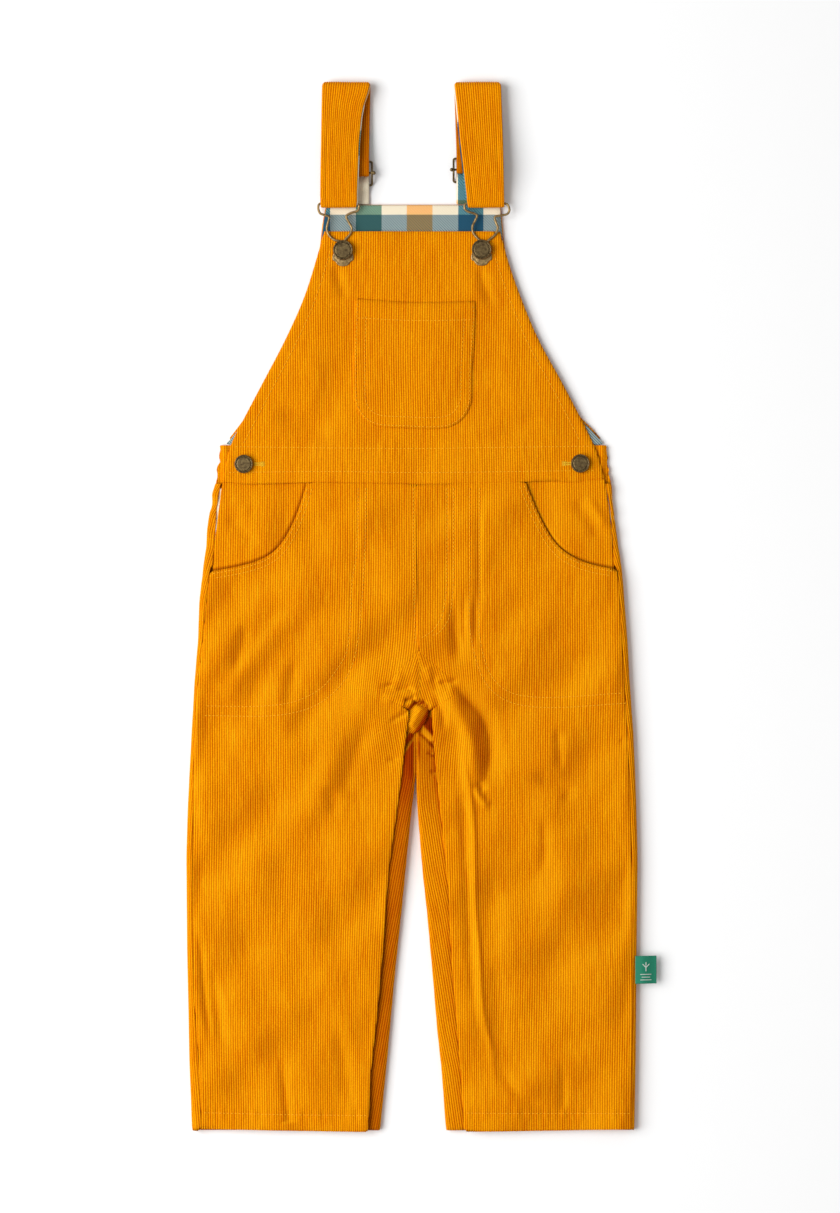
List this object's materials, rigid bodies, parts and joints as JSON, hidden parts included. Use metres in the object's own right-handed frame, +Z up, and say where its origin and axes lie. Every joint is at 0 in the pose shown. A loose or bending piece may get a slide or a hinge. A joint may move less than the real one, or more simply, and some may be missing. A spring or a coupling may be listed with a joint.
{
  "type": "kids dungarees",
  "caption": "Child's corduroy dungarees laid flat, with a bib pocket, hip pockets, checked lining, folded straps, sliders, bib hooks and metal buttons.",
  "frame": {"origin": "middle of the garment's outline on the surface it lies on", "axes": "+Y towards the straps, +X towards the garment's right-hand edge as seen from above, +Z up"},
  "size_m": [0.3574, 0.7979, 0.0144],
  "materials": {
    "corduroy": "matte pile",
    "flannel": "brushed check twill",
    "antique_brass": "antique satin",
    "label_weave": "woven satin"
  },
  "bodies": {
    "root": {"front_leg_left": "corduroy", "front_leg_right": "corduroy", "back_leg_left": "corduroy", "back_leg_right": "corduroy", "hip_pocket_left": "corduroy", "hip_pocket_right": "corduroy", "crotch_gusset": "corduroy", "front_bib": "corduroy", "bib_pocket": "corduroy", "back_bib": "corduroy", "back_bib_lining": "flannel", "back_waistband": "corduroy", "strap_left": "corduroy", "strap_right": "corduroy", "strap_lining_left": "flannel", "strap_lining_right": "flannel", "strap_slider_left": "antique_brass", "strap_slider_right": "antique_brass", "bib_hook_left": "antique_brass", "bib_hook_right": "antique_brass", "hook_plate_left": "antique_brass", "hook_plate_right": "antique_brass", "bib_button_left": "antique_brass", "bib_button_right": "antique_brass", "side_button_left": "antique_brass", "side_button_right": "antique_brass", "seam_label": "label_weave"}
  },
  "joints": []
}
